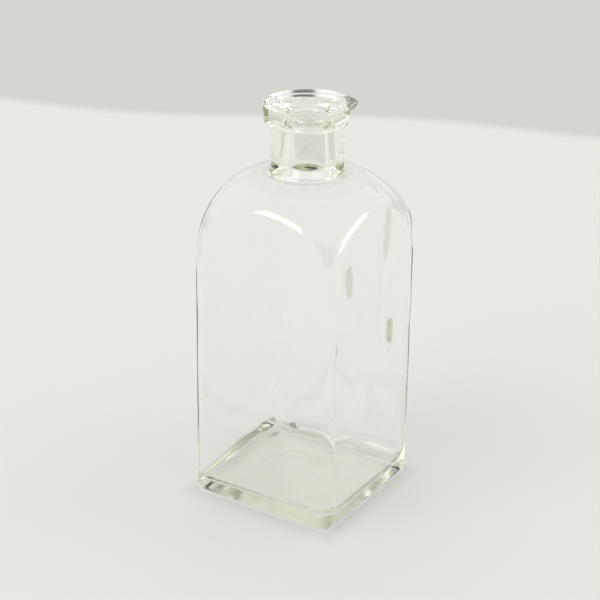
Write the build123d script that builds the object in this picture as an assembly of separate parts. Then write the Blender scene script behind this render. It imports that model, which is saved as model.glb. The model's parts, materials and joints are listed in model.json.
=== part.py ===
from build123d import *

import os

# Square glass bottle with flat arched sides, a domed shoulder, a short neck and a flared lip.
#
# It is made of two gathers of glass. The body is one bubble, blown into a square mould, and holds the
# base, the four sides, the dome and the neck. The lip is a second, thicker ring of glass, laid hot over
# the end of the neck and flared with a tool. The two are fused, so nothing moves.
#
# Frame: millimetres, +Z up, the origin at the middle of the base, on the plane that the bottle stands
# on. The four sides face +X, -X, +Y and -Y.

# Body, outside
side = 70.0  # across the flats
corner_radius = 5.0  # of the upright edges
heel_radius = 4.2  # round the foot
dome_foot = 112.5  # height where the dome's arc starts, upright
dome_centre = 12.7  # the arc's centre, from the axis
dome_radius = 35.3  # of the arc
arch_blend = 4.5  # where the dome turns into a flat side
neck_radius = 15.3
neck_blend = 4.0  # between the dome and the neck
neck_end = 172.0  # height of the neck's end, inside the lip
seam_turn = 30.0  # degrees, keeps the revolved dome's seam off the arches and the upright edges

# Body, inside
side_wall = 2.0
cavity_corner_radius = 4.2  # of the upright edges
dome_wall = 2.2
floor_height = 5.2
floor_blend = 4.0  # between the floor and the sides
bore_radius = 7.0
throat_blend = 2.5  # between the dome and the bore
mouth_clearance = 5.0  # how far the cavity's shape runs on past the neck's end

# Dish in the underside, which leaves a flat band to stand on
dish_radius = 22.0
dish_depth = 1.4

# Lip, from its foot against the neck, up its outside, over the rim and down to the bore
lip_foot = 168.3
lip_outline = [
    # distance from the axis, height, blend radius
    (17.6, 168.9, 0.9),  # foot of the collar
    (17.9, 173.3, 4.0),  # where the collar starts to flare
    (19.7, 176.6, 0.5),  # edge of the rim
    (19.1, 177.5, 0.6),  # crest of the rim
    (17.3, 177.2, 1.2),  # mouth of the funnel
    (9.5, 173.4, 4.0),  # foot of the funnel
]


def arc_height(radius, arc_radius):
    """Height of the dome's arc, or of one concentric with it, at a distance from the axis."""
    return dome_foot + (arc_radius**2 - (radius - dome_centre) ** 2) ** 0.5


def dome_with_tube(arc_radius, tube_radius, blend, top):
    """Solid of revolution: a dome that stands on an upright wall, with a tube on top."""
    foot_radius = dome_centre + arc_radius
    middle_radius = (foot_radius + tube_radius) / 2
    foot = (foot_radius, dome_foot)
    middle = (middle_radius, arc_height(middle_radius, arc_radius))
    join = (tube_radius, arc_height(tube_radius, arc_radius))
    arc = ThreePointArc(foot, middle, join)
    outline = Polyline(join, (tube_radius, top), (0, top), (0, 0), (foot_radius, 0), foot)
    profile = make_face([arc, *outline.edges()])
    corner = profile.vertices().sort_by_distance(Vector(*join))[0]
    return revolve(Plane.XZ * fillet(corner, blend), Axis.Z, 360).rotate(Axis.Z, seam_turn)


def square_with_dome(width, upright_radius, foot_height, foot_blend, dome):
    """Square prism with rounded edges, cut off by the dome, with its four arches blended."""
    square = Plane.XY.offset(foot_height) * RectangleRounded(width, width, upright_radius)
    prism = extrude(square, neck_end + mouth_clearance)
    solid = fillet(prism.edges().group_by(Axis.Z)[0], foot_blend) & dome
    arches = [
        edge
        for edge in solid.edges()
        if edge.center().Z > dome_foot and abs(edge.center().X) + abs(edge.center().Y) > width / 3
    ]
    return fillet(arches, arch_blend)


def underside_dish():
    """Large sphere that reaches into the base from below, by the dish's depth."""
    sphere_radius = (dish_radius**2 + dish_depth**2) / (2 * dish_depth)
    return Pos(0, 0, dish_depth - sphere_radius) * Sphere(sphere_radius)


def blown_body():
    """Thick-based square bottle with a bore through its neck."""
    outer_dome = dome_with_tube(dome_radius, neck_radius, neck_blend, neck_end)
    outside = square_with_dome(side, corner_radius, 0, heel_radius, outer_dome)
    inner_dome = dome_with_tube(
        dome_radius - dome_wall, bore_radius, throat_blend, neck_end + mouth_clearance
    )
    cavity = square_with_dome(
        side - 2 * side_wall, cavity_corner_radius, floor_height, floor_blend, inner_dome
    )
    return outside - cavity - underside_dish()


def applied_lip():
    """Ring laid over the neck's end: a collar round the neck, and a flared mouth above it."""
    foot = (neck_radius, lip_foot)
    bore_edge = (bore_radius, neck_end)
    points = [(radius, height) for radius, height, _ in lip_outline]
    blends = [blend for _, _, blend in lip_outline]
    skin = FilletPolyline(foot, *points, bore_edge, radius=blends)
    joint = Polyline(bore_edge, (neck_radius, neck_end), foot)
    return revolve(Plane.XZ * make_face([*skin.edges(), *joint.edges()]), Axis.Z, 360)


os.makedirs("parts", exist_ok=True)
export_step(blown_body(), "parts/blown_body.step")
export_step(applied_lip(), "parts/applied_lip.step")
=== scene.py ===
import json
import math

import bpy
import numpy as np
from mathutils import Matrix, Vector


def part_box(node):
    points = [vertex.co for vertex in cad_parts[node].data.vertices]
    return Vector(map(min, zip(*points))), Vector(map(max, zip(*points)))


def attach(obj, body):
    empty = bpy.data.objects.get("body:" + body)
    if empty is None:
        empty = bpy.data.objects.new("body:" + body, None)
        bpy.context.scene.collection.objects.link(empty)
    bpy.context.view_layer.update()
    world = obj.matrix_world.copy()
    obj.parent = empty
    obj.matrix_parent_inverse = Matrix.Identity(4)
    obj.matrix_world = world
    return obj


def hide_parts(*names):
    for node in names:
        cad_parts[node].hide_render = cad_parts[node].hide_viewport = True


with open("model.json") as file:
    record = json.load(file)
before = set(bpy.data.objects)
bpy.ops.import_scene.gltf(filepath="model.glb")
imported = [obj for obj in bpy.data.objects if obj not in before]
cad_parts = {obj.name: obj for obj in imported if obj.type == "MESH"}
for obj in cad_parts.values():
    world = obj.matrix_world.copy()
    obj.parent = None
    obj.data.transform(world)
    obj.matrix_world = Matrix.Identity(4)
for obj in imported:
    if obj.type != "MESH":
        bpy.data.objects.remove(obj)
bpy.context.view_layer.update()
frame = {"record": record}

# An old square bottle of clear glass with a faint green tint, on a pale table. The glass is two closed
# meshes, the blown body and the lip laid on its neck. Both are made as rings of points round the axis.
# Angles round the axis are in degrees from +X towards +Y. The front is the side with the wide throat.

mm = 0.001

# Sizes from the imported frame
body_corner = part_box("blown_body")[1]
half_side = body_corner.x
neck_end = body_corner.z
bore_mount = next(m for m in frame["record"]["mounts"] if m["name"] == "neck_bore")
bore_radius = bore_mount["dims"]["r_mm"] * mm

# The body's outside
corner_radius = 5.0 * mm
heel_radius = 4.2 * mm
dome_foot = 112.5 * mm
dome_centre = 12.7 * mm  # from the axis to the centre of the shoulder's arc
dome_radius = 35.3 * mm
arch_blend = 3.4 * mm
neck_radius = 15.3 * mm
neck_blend = 3.0 * mm
neck_blend_behind = 1.2 * mm
dish_radius = 21.5 * mm
dish_depth = 0.5 * mm
beyond_corners = 60 * mm  # a circle this wide does not cut the square
corner_dent = (47, 5, 75 * mm, 5 * mm, 0.35 * mm)  # angle, spread, height, spread, depth

# The body's inside
side_wall = 2.0 * mm
cavity_corner_radius = 3.6 * mm
dome_wall = 2.1 * mm
floor_height = 5.4 * mm
floor_blend = 4.6 * mm
highest_blend = 7 * mm  # up the wall
floor_swells = [  # (angle, spread, reach): glass that ran in from the walls
    (302, 9, 3.5 * mm),
    (315, 6, 2.5 * mm),
    (139, 9, 6.0 * mm),
    (128.5, 3, 4.5 * mm),
    (64, 11, 6.0 * mm),
    (45, 8, 8.0 * mm),
    (190, 25, 1.2 * mm),
]
throat_blend = 2.0 * mm
bore_top_radius = bore_radius - 0.35 * mm
bore_foot_radius = bore_radius + 0.8 * mm

# The wide throat in front, as (distance from the axis, height, length of the rounding) in mm
bell = [(7.8, 154.0, 0), (7.8, 151.2, 1.3), (13.7, 146.3, 2.4), (18.0, 145.3, 0)]
front = 302

# Marks that stand out from the inside of a wall: (height, centre, size across and up, lean), in mm
wall_marks = [
    (0.25, (33, 8.4, 123), (1.6, 13), 0.07),
    (0.12, (33, 7.0, 88), (1.2, 22), 0.0),
    (0.12, (33, -22.3, 113.3), (2.2, 6.0), -0.1),
    (0.12, (33, 13.0, 77), (1.7, 6.5), 0.0),
    (0.12, (-27.8, -33, 115.5), (0.8, 0.8), 0.0),
]

bubbles = [  # (centre, half sizes, tilt about X in degrees), in mm
    ((6.7, -13.0, 166.6), (0.35, 0.35, 0.5), 20),
    ((34.0, 13.2, 69.0), (0.3, 0.5, 1.0), 0),
    ((-14.6, 17.4, 3.6), (0.3, 0.3, 0.25), 0),
    ((-14.1, -5.9, 3.2), (0.5, 1.2, 0.3), 0),
    ((-24.0, -29.5, 4.2), (0.3, 0.3, 0.3), 0),
]

# Corners of the lip's section as (distance from the axis, height, length of the rounding), in mm. They run
# from the foot, up the outside and over the rim, and then through the mouth down to the bore.
joint_foot = 169.0 * mm
mouth = [(10.4, 174.55, 1.2), (7.2, 172.9, 0.5)]
collar = [
    (16.4, 168.9, 0.5),
    (16.5, 172.5, 0.4),
    (20.0, 172.7, 0.4),
    (19.85, 177.3, 0.4),
    (16.4, 176.95, 1.2),
]
block = [
    (18.1, 169.1, 0.6),
    (18.35, 170.6, 0.5),
    (18.65, 172.8, 0.8),
    (18.75, 177.3, 0.5),
    (16.4, 177.0, 1.2),
]
taper = [
    (15.6, 169.7, 0.3),
    (17.0, 171.4, 1.0),
    (18.3, 173.9, 1.4),
    (18.6, 177.3, 0.3),
    (17.9, 177.3, 0.3),
]
flare = [
    (16.7, 168.9, 0.5),
    (17.0, 171.6, 0.9),
    (17.6, 174.0, 0.9),
    (20.5, 178.0, 0.35),
    (16.6, 177.0, 1.2),
]
lip_start = 32
lip_sides = [  # (angle, outside of the section there)
    (lip_start, flare),
    (78, collar),
    (165, collar),
    (212, block),
    (262, taper),
    (350, taper),
    (lip_start + 360, flare),
]

# The glass
glass_index = 1.52
fused_index = 1.0  # on the faces inside the joint, which light crosses unbent
depth_tint = (0.74, 0.79, 0.36, 1)
depth_tint_density = 5.0
haze_colour = (0.988, 0.99, 0.98, 1)
clear = (1, 1, 1, 1)

# Slight roughness, which blurs what is seen through the foot, the front of the lip and the neck's foot
foot_roughness = 0.2
foot_fade = (0.6 * mm, 3.4 * mm)  # heights
lip_roughness = 0.12
lip_fade = (166 * mm, 170 * mm)  # heights
lip_front_fade = (5 * mm, 13 * mm)  # distances from the axis towards the front
neck_roughness = 0.16
neck_middle = 148.4 * mm
neck_spread = 3.2 * mm
neck_fade = (11 * mm, 13 * mm)  # distances from the axis, which leave the bore clear

olive_ovals = [  # (centre in mm, half sizes in mm, lean in degrees, colour near the edge): olive ovals, darkest near their edge
    ((35, -21.6, 113.0), (12, 4.8, 12.5), 6, (0.74, 0.75, 0.65, 1)),
    ((35, 13.4, 78.0), (12, 3.8, 12.0), 3, (0.52, 0.54, 0.40, 1)),
    ((35, 8.6, 125.0), (12, 4.2, 20.0), -4, (0.80, 0.81, 0.72, 1)),
    ((35, 3.9, 96.0), (12, 1.6, 30.0), 0, (0.93, 0.94, 0.90, 1)),
    ((12.1, -2.2, 5.4), (9.5, 0.7, 1.0), 0, (0.80, 0.81, 0.74, 1)),
]
painted_floor_shade_steps = [  # (height in mm, colour) of the painted shade on the floor, darkest in the rounding round it
    (5.0, (1, 1, 1, 1)),
    (5.3, (0.94, 0.95, 0.85, 1)),
    (5.46, (0.93, 0.94, 0.84, 1)),
    (5.75, (0.66, 0.68, 0.55, 1)),
    (6.3, (0.90, 0.91, 0.84, 1)),
    (8.6, (1, 1, 1, 1)),
]
inside_walls = (33.9 * mm, 33.4 * mm)  # where the painted floor shade fades in, square to the walls

# The table
table_colour = (0.27, 0.27, 0.262, 1)
table_glow_colour = (1.0, 1.0, 0.95, 1)
table_roughness = 0.75
table_reach = 3000 * mm
table_gap = 0.25 * mm  # below the bottle, so that light passes under it
table_edge_distance = 511 * mm
table_edge_turn = 24.6
edge_softness = 22 * mm
edge_wave_length = 370 * mm
edge_wave_reach = 11 * mm
edge_wave_phase = -1.57
painted_glow_and_shade_steps = [  # (distance in mm, the table's own light): painted light under the bottle, painted shade along the heel and round the bottle
    (28.0, 0.57),
    (32.5, 0.52),
    (34.7, 0.39),
    (37.0, 0.43),
    (42.0, 0.485),
    (70.0, 0.475),
    (110.0, 0.485),
    (160.0, 0.50),
]

# The light. Directions are (angle from -Y towards +X, angle above the table).
light_distance = 4.0
light_height = 0.09
room_direction = (45, 14)  # where the unlit room is
room_inner = 18  # half angles of the dark part and of its faded edge
room_outer = 38
room_colour = (0.10, 0.10, 0.085, 1)
sky_steps = [  # (0 straight down to 1 straight up, colour)
    (0.0, (0.55, 0.56, 0.52, 1)),
    (0.33, (0.66, 0.67, 0.625, 1)),
    (0.45, (0.69, 0.70, 0.655, 1)),
    (0.52, (0.90, 0.91, 0.88, 1)),
    (0.75, (0.95, 0.95, 0.93, 1)),
    (1.0, (0.80, 0.80, 0.79, 1)),
]

# The view
view_direction = (32.35, 24.16)
view_distance = 775.9 * mm
view_target = Vector((-1.86, -1.18, 88.55)) * mm
view_roll = 0.875
lens_mm = 107.9


# ---------------------------------------------------------------- rings of points

segments = 320
corner_crowding = 0.72


def ring_angles():
    """Angles round the axis, closer together near the four corners."""
    even = np.linspace(0, 2 * np.pi, segments, endpoint=False)
    return even + corner_crowding / 4 * np.sin(4 * even)


angles = ring_angles()
ring = np.arange(segments)
next_in_ring = (ring + 1) % segments


def square_reach(half, corner):
    """Distance from the axis to a rounded square, for each row's half width and corner radius."""
    half, corner = np.broadcast_arrays(np.atleast_2d(half).T, np.atleast_2d(corner).T)
    turn = np.abs((angles + np.pi / 4) % (np.pi / 2) - np.pi / 4)
    to_corner = math.sqrt(2) * (half - corner)
    off = np.pi / 4 - turn
    inside = np.maximum(corner**2 - (to_corner * np.sin(off)) ** 2, 0)
    round_part = to_corner * np.cos(off) + np.sqrt(inside)
    return np.where(half * np.tan(turn) <= half - corner, half / np.cos(turn), round_part)


def smooth_min(a, b, width):
    """The smaller of two, rounded over where they meet."""
    overlap = np.maximum(width - np.abs(a - b), 0)
    return np.minimum(a, b) - overlap**2 / (4 * width)


def ring_points(reach, height):
    """Points of every row: reach and height are rows by segments."""
    reach, height = np.broadcast_arrays(reach, height)
    return np.stack([reach * np.cos(angles), reach * np.sin(angles), height], axis=-1)


def grid_normals(points):
    """Unit normals of a grid of rings, by differences along and across it."""
    along = np.roll(points, -1, axis=1) - np.roll(points, 1, axis=1)
    up = np.gradient(points, axis=0)
    normal = np.cross(along, up)
    return normal / np.maximum(np.linalg.norm(normal, axis=-1, keepdims=True), 1e-12)


def ripple(points, wavelength, seed):
    """A smooth random field of about 1 at its peaks: plane waves in random directions."""
    source = np.random.default_rng(seed)
    count = 18
    direction = source.normal(size=(count, 3))
    direction /= np.linalg.norm(direction, axis=1, keepdims=True)
    pace = 2 * np.pi / wavelength * source.uniform(0.7, 1.4, count)
    phase = source.uniform(0, 2 * np.pi, count)
    total = np.zeros(points.shape[:-1])
    for d, k, p in zip(direction, pace, phase):
        total += np.sin(points @ d * k + p)
    return total / math.sqrt(count) * 1.2


def fade(x, start, end):
    """0 before start, 1 after end, smooth between."""
    t = np.clip((x - start) / (end - start), 0, 1)
    return t * t * (3 - 2 * t)


def arc_rows(centre, radius, start, end, count):
    """Points (distance from the axis, height) along an arc, its ends included."""
    turn = np.radians(np.linspace(start, end, count))
    return np.stack([centre[0] + radius * np.cos(turn), centre[1] + radius * np.sin(turn)], axis=1)


def line_rows(start, end, count):
    """Points (distance from the axis, height) along a line, without its first point."""
    share = np.linspace(0, 1, count + 1)[1:, None]
    return np.array(start) * (1 - share) + np.array(end) * share


rounding_steps = 10


def rounded_loop(corners):
    """Closed curve through corners of (distance from the axis, height, length of the rounding), in mm."""
    place = np.array([c[:2] for c in corners])
    cut = np.array([c[2] for c in corners])[:, None]
    back = np.roll(place, 1, axis=0) - place
    ahead = np.roll(place, -1, axis=0) - place
    start = place + back / np.linalg.norm(back, axis=1, keepdims=True) * cut
    end = place + ahead / np.linalg.norm(ahead, axis=1, keepdims=True) * cut
    t = np.linspace(0, 1, rounding_steps)[:, None, None]
    curve = (1 - t) ** 2 * start + 2 * t * (1 - t) * place + t**2 * end
    return curve.transpose(1, 0, 2).reshape(-1, 2) * mm


def section(profile, blend):
    """Points of rows of (circle limit, height, square's half width, square's corner radius)."""
    circle, height, half, corner = np.array(profile).T
    reach = smooth_min(square_reach(half, corner), circle[:, None], blend)
    return ring_points(reach, height[:, None])


# ---------------------------------------------------------------- meshes


def grid_faces(rows, first, wrap=False):
    """Quads between neighbouring rings, whose first vertex has the number first."""
    faces = []
    for j in range(rows if wrap else rows - 1):
        a = first + j * segments
        b = first + ((j + 1) % rows) * segments
        faces.append(np.stack([a + ring, a + next_in_ring, b + next_in_ring, b + ring], axis=1))
    return np.concatenate(faces)


def add_mesh(name, vertices, faces, fused):
    """A smooth mesh. Faces marked as fused lie in the joint between the lip and the neck."""
    mesh = bpy.data.meshes.new(name)
    mesh.from_pydata(vertices.tolist(), [], faces)
    mesh.shade_smooth()
    marks = mesh.attributes.new("fused", "FLOAT", "FACE")
    marks.data.foreach_set("value", np.asarray(fused, dtype=np.float32))
    sides = {}
    for polygon in mesh.polygons:
        for key in polygon.edge_keys:
            sides.setdefault(key, set()).add(bool(fused[polygon.index]))
    sharp = mesh.attributes.new("sharp_edge", "BOOLEAN", "EDGE")
    sharp.data.foreach_set("value", [len(sides[edge.key]) > 1 for edge in mesh.edges])
    made = bpy.data.objects.new(name, mesh)
    bpy.context.scene.collection.objects.link(made)
    return made


def bubble(centre, size, tilt, first):
    """A closed hollow in the glass, facing inward: its vertices and faces, numbered from first."""
    rows = 12
    count = 20
    polar = np.linspace(0, np.pi, rows + 2)[1:-1]
    turn = np.linspace(0, 2 * np.pi, count, endpoint=False)
    flat = np.sin(polar)[:, None]
    points = np.stack(
        [flat * np.cos(turn), flat * np.sin(turn), np.cos(polar)[:, None] + 0 * turn], axis=-1
    ).reshape(-1, 3)
    points = np.concatenate([[(0, 0, 1)], points, [(0, 0, -1)]]) * np.array(size)
    points = points @ np.array(Matrix.Rotation(math.radians(tilt), 3, "X")).T + np.array(centre)
    faces = []
    for i in range(count):
        j = (i + 1) % count
        faces.append((first, first + 1 + j, first + 1 + i))
        for k in range(rows - 1):
            a = first + 1 + k * count
            faces.append((a + i, a + j, a + count + j, a + count + i))
        last = first + 1 + (rows - 1) * count
        faces.append((last + i, last + j, first + 1 + rows * count))
    return points, faces


# ---------------------------------------------------------------- the body's outside


def base_profile():
    """Rows of the underside, from near its middle to the foot of the heel."""
    flat_edge = half_side - heel_radius
    rows = []
    for r in np.linspace(1.2 * mm, dish_radius - 0.5 * mm, 8):
        rows.append((r, 0, r + 12 * mm, corner_radius))
    for past in (-0.15 * mm, 0.15 * mm, 0.6 * mm):
        rows.append((dish_radius + past, 0, dish_radius + 10 * mm, corner_radius))
    for share in np.linspace(0.12, 1, 7):
        reach = dish_radius + share * (flat_edge - dish_radius)
        half = max(reach, flat_edge * (0.9 + 0.1 * share))
        rows.append((reach + share**2 * beyond_corners, 0, half, 2.4 * mm))
    return rows


def side_profile():
    """Rows of the heel and the sides, up to the foot of the dome."""
    rows = []
    for turn in np.radians(np.linspace(-81, 0, 9)):
        inset = heel_radius * (1 - math.cos(turn))
        rise = heel_radius * (1 + math.sin(turn))
        rows.append((beyond_corners, rise, half_side - inset, corner_radius - inset))
    for z in np.linspace(heel_radius + 2 * mm, dome_foot, 40):
        circle = dome_centre + dome_radius + 0.3 * (dome_foot - z)
        rows.append((circle, z, half_side, corner_radius))
    return rows


def top_profile(blend):
    """Rows of the dome and the neck, with a rounding of that radius between them."""
    blend_reach = neck_radius + blend
    crown = math.acos((blend_reach - dome_centre) / (dome_radius + blend))
    blend_height = dome_foot + (dome_radius + blend) * math.sin(crown)
    crown = math.degrees(crown)
    curve = [arc_rows((dome_centre, dome_foot), dome_radius, 1.6, crown, 40)]
    curve.append(arc_rows((blend_reach, blend_height), blend, 180 + crown, 180, 9)[1:])
    curve.append(line_rows((neck_radius, blend_height), (neck_radius, joint_foot), 12))
    curve.append(line_rows((neck_radius, joint_foot), (neck_radius, neck_end), 3))
    return [(r, z, half_side, corner_radius) for r, z in np.concatenate(curve)]


def bell_share():
    """1 in front, where the neck's foot is bell-shaped, and 0 behind, where it is sharp."""
    return fade(0.5 + 0.5 * np.cos(angles - math.radians(front)), 0.25, 0.6)


def outer_waves(outer):
    """How far the outside is pushed out of true: long waves, and a dent in one upright edge."""
    height = outer[..., 2]
    calm = fade(height, 8 * mm, 30 * mm) * (1 - fade(height, 140 * mm, 150 * mm))
    waves = calm * 0.07 * mm * ripple(outer, 26 * mm, 11)
    turn, turn_spread, middle, height_spread, depth = corner_dent
    dent = -depth * np.exp(-(((height - middle) / height_spread) ** 2))
    corner_off = np.degrees(angles) - turn
    return waves + dent * np.exp(-((corner_off / turn_spread) ** 2))


def outer_points():
    """Rings of the outside, from near the middle of the base to the neck's end."""
    share = bell_share()[:, None]
    lower = base_profile() + side_profile()
    outer = section(lower + top_profile(neck_blend), arch_blend) * share
    outer += section(lower + top_profile(neck_blend_behind), arch_blend) * (1 - share)
    from_axis = np.hypot(outer[..., 0], outer[..., 1])
    dish = dish_depth * np.maximum(1 - (from_axis / dish_radius) ** 2, 0)
    outer[..., 2] += np.where(outer[..., 2] < 0.01 * mm, dish, 0)
    return outer + grid_normals(outer) * outer_waves(outer)[..., None]


# ---------------------------------------------------------------- the body's inside


def bore_rows():
    """Rows of the bore and the throat, which is bell-shaped in front and sharp behind."""
    seat = line_rows((neck_radius, neck_end), (bore_top_radius, neck_end), 5)
    throat_reach = bore_foot_radius + throat_blend
    ceiling = dome_foot + dome_radius - dome_wall
    edge = arc_rows((throat_reach, ceiling + throat_blend), throat_blend, 180, 262, 11)
    roof = arc_rows((dome_centre, dome_foot), dome_radius - dome_wall, 94, 81.0, 11)
    wide = rounded_loop(bell)[rounding_steps - 1 : 1 - rounding_steps]
    bore = line_rows((bore_top_radius, neck_end), edge[0], 14)
    wide_bore = line_rows((bore_top_radius, neck_end), wide[0], 14)
    sharp = np.concatenate([seat, bore[:-1], edge, roof])[:, None, :]
    wide = np.concatenate([seat, wide_bore[:-1], wide])[:, None, :]
    share = bell_share()[:, None]
    both = sharp * (1 - share) + wide * share
    return ring_points(both[..., 0], both[..., 1])


def inner_profile():
    """Rows of the inside, from the dome's crown to the top of the floor's rounding."""
    half_inside = half_side - side_wall
    inner_radius = dome_radius - dome_wall
    rows = [
        (r, z, half_inside, cavity_corner_radius)
        for r, z in arc_rows((dome_centre, dome_foot), inner_radius, 80.0, 1.6, 36)
    ]
    for z in np.linspace(dome_foot, floor_height + 9 * mm, 54):
        circle = dome_centre + inner_radius + 0.3 * (dome_foot - z)
        rows.append((circle, z, half_inside, cavity_corner_radius))
    return rows


def floor_rows():
    """Rows of the rounding and the floor, from the top of the rounding to near the middle."""
    wall = square_reach(half_side - side_wall, cavity_corner_radius)[0]
    inward = np.full(segments, floor_blend)
    for place, width, extra in floor_swells:
        off = (np.degrees(angles) - place + 180) % 360 - 180
        inward += extra * np.exp(-((off / width) ** 2))
    rise = np.minimum(inward, highest_blend)
    rows = []
    for turn in np.radians(np.linspace(0, 90, 12)):
        reach = wall - inward * (1 - math.cos(turn))
        rows.append(ring_points(reach, floor_height + rise * (1 - math.sin(turn))))
    for share in np.linspace(0.96, 0.04, 12):
        rows.append(ring_points((wall - inward) * share, np.full(segments, floor_height)))
    return np.array(rows)


def patch(points, centre, size, lean):
    """A smooth bump of height 1 on the wall nearest to centre: size is (across, up)."""
    off = points - np.array(centre) * mm
    wall = int(np.argmax(np.abs(centre[:2])))
    across = off[..., 1 - wall] - lean * off[..., 2]
    near = np.abs(off[..., wall]) < 6 * mm
    square = (across / size[0] / mm) ** 2 + (off[..., 2] / size[1] / mm) ** 2
    return near * np.exp(-square)


def inner_waves(inner):
    """How far the inside is pushed out of true: long waves, which leave the dome alone, and the marks."""
    height = inner[..., 2]
    calm = fade(height, 10 * mm, 34 * mm)
    calm *= 1 - fade(height, 100 * mm, 122 * mm)
    waves = 0.15 * mm * ripple(inner, 34 * mm, 21) + 0.03 * mm * ripple(inner, 15 * mm, 22)
    marks = sum(rise * mm * patch(inner, centre, size, lean) for rise, centre, size, lean in wall_marks)
    return calm * waves + marks


def inner_points():
    """Rings of the inside, from the neck's end to near the middle of the floor."""
    inner = np.concatenate([bore_rows(), section(inner_profile(), arch_blend), floor_rows()])
    return inner + grid_normals(inner) * inner_waves(inner)[..., None]


def make_body():
    points = np.concatenate([outer_points(), inner_points()])
    first_pole = (0, 0, points[0, :, 2].mean())
    last_pole = (0, 0, points[-1, :, 2].mean())
    vertices = np.concatenate([[first_pole], points.reshape(-1, 3), [last_pole]])
    last_ring = 1 + (len(points) - 1) * segments
    quads = grid_faces(len(points), 1)
    low = vertices[quads, 2].min(axis=1)
    reach = np.hypot(vertices[:, 0], vertices[:, 1])[quads].mean(axis=1)
    in_lip = (low > joint_foot - 0.01 * mm) & (reach > bore_top_radius + 0.1 * mm)
    faces = quads.tolist()
    faces += [(0, int(b) + 1, int(a) + 1) for a, b in zip(ring, next_in_ring)]
    end = len(vertices) - 1
    faces += [(last_ring + int(a), last_ring + int(b), end) for a, b in zip(ring, next_in_ring)]
    for centre, size, tilt in bubbles:
        more, more_faces = bubble(np.array(centre) * mm, np.array(size) * mm, tilt, len(vertices))
        vertices = np.concatenate([vertices, more])
        faces += more_faces
    fused = np.concatenate([in_lip, np.zeros(len(faces) - len(quads), bool)])
    return add_mesh("glass_body", vertices, faces, fused)


# ---------------------------------------------------------------- the lip

joint_clearance = 0.02  # mm
shortest_edge = 1e-7


def lip_section(side):
    """The closed section whose outside is side and whose rest is the joint with the neck."""
    socket = neck_radius / mm + joint_clearance
    seat = neck_end / mm + joint_clearance
    foot = [(socket, joint_foot / mm, 0)]
    return rounded_loop(foot + side + mouth + [(bore_top_radius / mm, seat, 0), (socket, seat, 0)])


def make_lip():
    """A ring whose section changes round the neck, as a tooled lip's does."""
    turn = (np.degrees(angles) - lip_start) % 360 + lip_start
    loop = 0
    for (start, side), (end, next_side) in zip(lip_sides[:-1], lip_sides[1:]):
        share = fade(turn, start, end)[None, :, None]
        here = ((turn >= start) & (turn < end))[None, :, None]
        a = lip_section(side)[:, None, :]
        b = lip_section(next_side)[:, None, :]
        loop = loop + here * (a * (1 - share) + b * share)
    step = np.linalg.norm(loop - np.roll(loop, 1, axis=0), axis=-1)
    loop = loop[step.max(axis=1) > shortest_edge]
    points = ring_points(loop[..., 0], loop[..., 1])
    vertices = points.reshape(-1, 3)
    quads = grid_faces(len(points), 0, wrap=True)
    centre = vertices[quads].mean(axis=1)
    reach = np.hypot(centre[:, 0], centre[:, 1])
    on_seat = np.abs(centre[:, 2] - neck_end) < 0.05 * mm
    in_socket = (reach < neck_radius + 0.05 * mm) & (centre[:, 2] < neck_end)
    return add_mesh("glass_lip", vertices, quads.tolist(), on_seat | in_socket)


# ---------------------------------------------------------------- nodes


def node(tree, kind, **values):
    """A new node. Each value is a property of the node, or the value of the socket of that name."""
    made = tree.nodes.new(kind)
    for key, value in values.items():
        if hasattr(made, key):
            setattr(made, key, value)
        else:
            made.inputs[key.replace("_", " ")].default_value = value
    return made


def fill(tree, socket, term):
    """Gives a socket its value: a number or vector, or another node's output."""
    if isinstance(term, bpy.types.NodeSocket):
        tree.links.new(term, socket)
    else:
        socket.default_value = term


def maths(tree, operation, *terms):
    """The result of a sum on numbers or other nodes' outputs."""
    made = node(tree, "ShaderNodeMath", operation=operation)
    for socket, term in zip(made.inputs, terms):
        fill(tree, socket, term)
    return made.outputs["Value"]


def length_of(tree, vector):
    """The length of a vector."""
    made = node(tree, "ShaderNodeVectorMath", operation="LENGTH")
    fill(tree, made.inputs[0], vector)
    return made.outputs["Value"]


def distance_towards(tree, vector, direction):
    """How far a vector reaches in a direction."""
    made = node(tree, "ShaderNodeVectorMath", operation="DOT_PRODUCT")
    fill(tree, made.inputs[0], vector)
    fill(tree, made.inputs[1], direction)
    return made.outputs["Value"]


def spread(tree, value, start, end, low=0.0, high=1.0, smooth=False):
    """Goes from low to high as the value goes from start to end."""
    made = node(tree, "ShaderNodeMapRange", From_Min=start, From_Max=end, To_Min=low, To_Max=high)
    if smooth:
        made.interpolation_type = "SMOOTHSTEP"
    fill(tree, made.inputs["Value"], value)
    return made.outputs["Result"]


def noise(tree, where, scale, detail):
    """A cloudy value between 0 and 1."""
    made = node(tree, "ShaderNodeTexNoise", Scale=scale, Detail=detail)
    fill(tree, made.inputs["Vector"], where)
    return made.outputs["Fac"]


def ramp(tree, value, steps, interpolation="LINEAR"):
    """A colour for a value, from steps of (value, colour)."""
    made = node(tree, "ShaderNodeValToRGB")
    made.color_ramp.interpolation = interpolation
    while len(made.color_ramp.elements) < len(steps):
        made.color_ramp.elements.new(0.5)
    for element, (place, colour) in zip(made.color_ramp.elements, steps):
        element.position = place
        element.color = colour
    fill(tree, made.inputs["Fac"], value)
    return made.outputs["Color"]


def mix_colours(tree, factor, a, b, blend="MIX"):
    """Two colours mixed, or multiplied, by a factor."""
    made = node(tree, "ShaderNodeMix", data_type="RGBA", blend_type=blend)
    fill(tree, made.inputs["Factor"], factor)
    fill(tree, made.inputs[6], a)
    fill(tree, made.inputs[7], b)
    return made.outputs[2]


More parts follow.
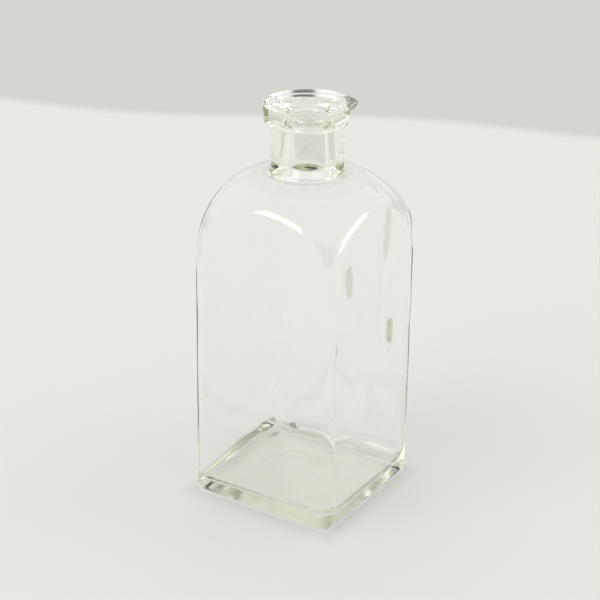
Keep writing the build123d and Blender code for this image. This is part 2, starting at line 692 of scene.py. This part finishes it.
def wall_distance(tree, where):
    """How far a point is from the axis, measured square to the nearest wall."""
    size = node(tree, "ShaderNodeVectorMath", operation="ABSOLUTE")
    fill(tree, size.inputs[0], where)
    parts = node(tree, "ShaderNodeSeparateXYZ")
    fill(tree, parts.inputs["Vector"], size.outputs["Vector"])
    return maths(tree, "SMOOTH_MAX", parts.outputs["X"], parts.outputs["Y"], 3 * mm)


# ---------------------------------------------------------------- the glass


def olive_oval(tree, where, centre, size, lean, colour):
    """Colour of an uneven oval, faint in the middle and strongest near its edge."""
    oval = node(tree, "ShaderNodeMapping", vector_type="TEXTURE")
    oval.inputs["Location"].default_value = [v * mm for v in centre]
    oval.inputs["Rotation"].default_value = (math.radians(lean), 0, 0)
    oval.inputs["Scale"].default_value = [v * mm for v in size]
    fill(tree, oval.inputs["Vector"], where)
    reach = length_of(tree, oval.outputs["Vector"])
    uneven = maths(tree, "MULTIPLY_ADD", noise(tree, where, 260.0, 2.0), 0.5, reach)
    middle = [(1 + 2 * c) / 3 for c in colour]
    steps = [(0.2, middle), (0.48, middle), (0.64, colour), (1, clear)]
    return ramp(tree, uneven, steps, interpolation="EASE")


def painted_floor_shade(tree, where, height):
    """Painted shade by height, for the surfaces inside the walls: a faint olive tint on the floor, darkest
    in the floor's rounding.
    """
    low, high = painted_floor_shade_steps[0][0], painted_floor_shade_steps[-1][0]
    steps = [((z - low) / (high - low), colour) for z, colour in painted_floor_shade_steps]
    colour = ramp(tree, spread(tree, height, low * mm, high * mm), steps)
    within = spread(tree, wall_distance(tree, where), *inside_walls)
    amount = spread(tree, noise(tree, where, 70.0, 4.0), 0.3, 0.65, 0.35, 1.0)
    return mix_colours(tree, maths(tree, "MULTIPLY", within, amount), clear, colour)


def surface_colour(tree, where, height):
    """Clear glass with a slight haze, the olive ovals and the painted shade on the floor."""
    colour = ramp(tree, noise(tree, where, 45.0, 3.0), [(0, haze_colour), (1, clear)])
    for centre, size, lean, shade in olive_ovals:
        mark = olive_oval(tree, where, centre, size, lean, shade)
        colour = mix_colours(tree, 1.0, colour, mark, blend="MULTIPLY")
    return mix_colours(tree, 1.0, colour, painted_floor_shade(tree, where, height), blend="MULTIPLY")


def surface_roughness(tree, where, height):
    """Roughness of the foot, of the front of the lip, and of the neck's foot."""
    foot = spread(tree, height, *foot_fade, foot_roughness, 0.0, smooth=True)
    turn = math.radians(front)
    forward = distance_towards(tree, where, (math.cos(turn), math.sin(turn), 0.0))
    in_front = spread(tree, forward, *lip_front_fade)
    on_lip = spread(tree, height, *lip_fade, 0.0, lip_roughness)
    foot_and_lip = maths(tree, "MULTIPLY_ADD", in_front, on_lip, foot)
    level = node(tree, "ShaderNodeVectorMath", operation="MULTIPLY")
    level.inputs[1].default_value = (1, 1, 0)
    fill(tree, level.inputs[0], where)
    from_axis = length_of(tree, level.outputs["Vector"])
    outside = spread(tree, from_axis, *neck_fade, 0.0, neck_roughness)
    at_neck = maths(tree, "COMPARE", height, neck_middle, neck_spread)
    return maths(tree, "MULTIPLY_ADD", at_neck, outside, foot_and_lip)


def glass_material(name):
    material = bpy.data.materials.new(name)
    material.use_nodes = True
    tree = material.node_tree
    shader = tree.nodes["Principled BSDF"]
    output = tree.nodes["Material Output"]
    where = node(tree, "ShaderNodeTexCoord").outputs["Object"]
    split = node(tree, "ShaderNodeSeparateXYZ")
    fill(tree, split.inputs["Vector"], where)
    height = split.outputs["Z"]
    fused = node(tree, "ShaderNodeAttribute", attribute_name="fused")
    index = spread(tree, fused.outputs["Fac"], 0.0, 1.0, glass_index, fused_index)
    shader.inputs["Transmission Weight"].default_value = 1.0
    fill(tree, shader.inputs["Base Color"], surface_colour(tree, where, height))
    fill(tree, shader.inputs["Roughness"], surface_roughness(tree, where, height))
    fill(tree, shader.inputs["IOR"], index)
    tint = node(tree, "ShaderNodeVolumeAbsorption", Color=depth_tint, Density=depth_tint_density)
    fill(tree, output.inputs["Volume"], tint.outputs["Volume"])
    return material


# ---------------------------------------------------------------- table, light and camera


def painted_table_glow_and_shade(tree, where):
    """The table's own light, with painted light under the bottle and painted shade in a ring round its
    foot.
    """
    near, far = painted_glow_and_shade_steps[0][0], painted_glow_and_shade_steps[-1][0]
    steps = [((place - near) / (far - near), (shade, shade, shade, 1)) for place, shade in painted_glow_and_shade_steps]
    return ramp(tree, spread(tree, wall_distance(tree, where), near * mm, far * mm), steps)


def past_table_edge(tree, where):
    """0 on the table and 1 past its soft, wavy far edge."""
    turn = math.radians(table_edge_turn)
    away = distance_towards(tree, where, (-math.sin(turn), math.cos(turn), 0))
    across = distance_towards(tree, where, (math.cos(turn), math.sin(turn), 0))
    phase = maths(tree, "MULTIPLY_ADD", across, 2 * math.pi / edge_wave_length, edge_wave_phase)
    bent = maths(tree, "MULTIPLY_ADD", maths(tree, "SINE", phase), edge_wave_reach, away)
    start = table_edge_distance - edge_softness / 2
    end = table_edge_distance + edge_softness / 2
    return spread(tree, bent, start, end, smooth=True)


def table_material():
    material = bpy.data.materials.new("table_white")
    material.use_nodes = True
    tree = material.node_tree
    shader = tree.nodes["Principled BSDF"]
    output = tree.nodes["Material Output"]
    where = node(tree, "ShaderNodeTexCoord").outputs["Object"]
    shader.inputs["Base Color"].default_value = table_colour
    shader.inputs["Roughness"].default_value = table_roughness
    shader.inputs["Emission Color"].default_value = table_glow_colour
    # The table's glow holds painted light under the bottle and a painted shadow round its foot
    fill(tree, shader.inputs["Emission Strength"], painted_table_glow_and_shade(tree, where))
    see_through = node(tree, "ShaderNodeBsdfTransparent")
    mix = node(tree, "ShaderNodeMixShader")
    fill(tree, mix.inputs["Fac"], past_table_edge(tree, where))
    fill(tree, mix.inputs[1], shader.outputs["BSDF"])
    fill(tree, mix.inputs[2], see_through.outputs["BSDF"])
    fill(tree, output.inputs["Surface"], mix.outputs["Shader"])
    return material


def make_table():
    turn = np.linspace(0, 2 * np.pi, 96, endpoint=False)
    rim = np.stack([table_reach * np.cos(turn), table_reach * np.sin(turn), 0 * turn - table_gap], axis=1)
    mesh = bpy.data.meshes.new("table")
    mesh.from_pydata(rim.tolist(), [], [tuple(range(len(rim)))])
    mesh.materials.append(table_material())
    table = bpy.data.objects.new("table", mesh)
    bpy.context.scene.collection.objects.link(table)


def towards(azimuth, elevation):
    """Unit vector, by its angle from -Y towards +X and its angle above the table, in degrees."""
    a, e = math.radians(azimuth), math.radians(elevation)
    return Vector((math.sin(a) * math.cos(e), -math.cos(a) * math.cos(e), math.sin(e)))


def make_window(name, place, size, radiance):
    """A soft light that faces the bottle, from a place given as a direction."""
    width, height = size
    light = bpy.data.lights.new(name, "AREA")
    light.shape = "RECTANGLE"
    light.size = width
    light.size_y = height
    light.energy = radiance * width * height * math.pi
    made = bpy.data.objects.new(name, light)
    bpy.context.scene.collection.objects.link(made)
    direction = towards(*place)
    made.location = direction * light_distance + Vector((0, 0, light_height))
    made.rotation_euler = direction.to_track_quat("Z", "Y").to_euler()
    made.visible_camera = False


def make_world():
    """A pale studio that is brighter above the horizon, with one dark part."""
    world = bpy.data.worlds.new("studio")
    bpy.context.scene.world = world
    world.use_nodes = True
    tree = world.node_tree
    where = node(tree, "ShaderNodeTexCoord").outputs["Generated"]
    split = node(tree, "ShaderNodeSeparateXYZ")
    fill(tree, split.inputs["Vector"], where)
    sky = ramp(tree, spread(tree, split.outputs["Z"], -1.0, 1.0), sky_steps)
    facing = distance_towards(tree, where, towards(*room_direction))
    outer = math.cos(math.radians(room_outer))
    inner = math.cos(math.radians(room_inner))
    room = spread(tree, facing, outer, inner, smooth=True)
    colour = mix_colours(tree, room, sky, room_colour)
    fill(tree, tree.nodes["Background"].inputs["Color"], colour)


def make_camera():
    data = bpy.data.cameras.new("camera")
    data.lens = lens_mm
    data.sensor_width = 36
    data.clip_start = 0.01
    data.clip_end = 20
    camera = bpy.data.objects.new("camera", data)
    bpy.context.scene.collection.objects.link(camera)
    direction = towards(*view_direction)
    camera.location = view_target + direction * view_distance
    turn = direction.to_track_quat("Z", "Y").to_matrix().to_4x4()
    camera.rotation_mode = "QUATERNION"
    camera.rotation_quaternion = (turn @ Matrix.Rotation(math.radians(view_roll), 4, "Z")).to_quaternion()
    bpy.context.scene.camera = camera


# ---------------------------------------------------------------- the scene


def place(piece, slot, node_name):
    """Gives the piece its material, and lets it stand for its CAD node."""
    piece.data.materials.append(glass_material(slot))
    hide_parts(node_name)
    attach(piece, "root")


make_camera()
make_table()
make_world()
make_window("window_left", (-22, 38), (2.6, 1.8), 4.0)
make_window("window_right", (118, 12), (2.4, 1.3), 3.5)
place(make_body(), "bottle_glass", "blown_body")
place(make_lip(), "lip_glass", "applied_lip")

# Light crosses many glass faces on its way through the bottle
scene = bpy.context.scene
scene.view_settings.view_transform = "Standard"
scene.cycles.max_bounces = 48
scene.cycles.transmission_bounces = 48
scene.cycles.glossy_bounces = 24
scene.cycles.transparent_max_bounces = 16
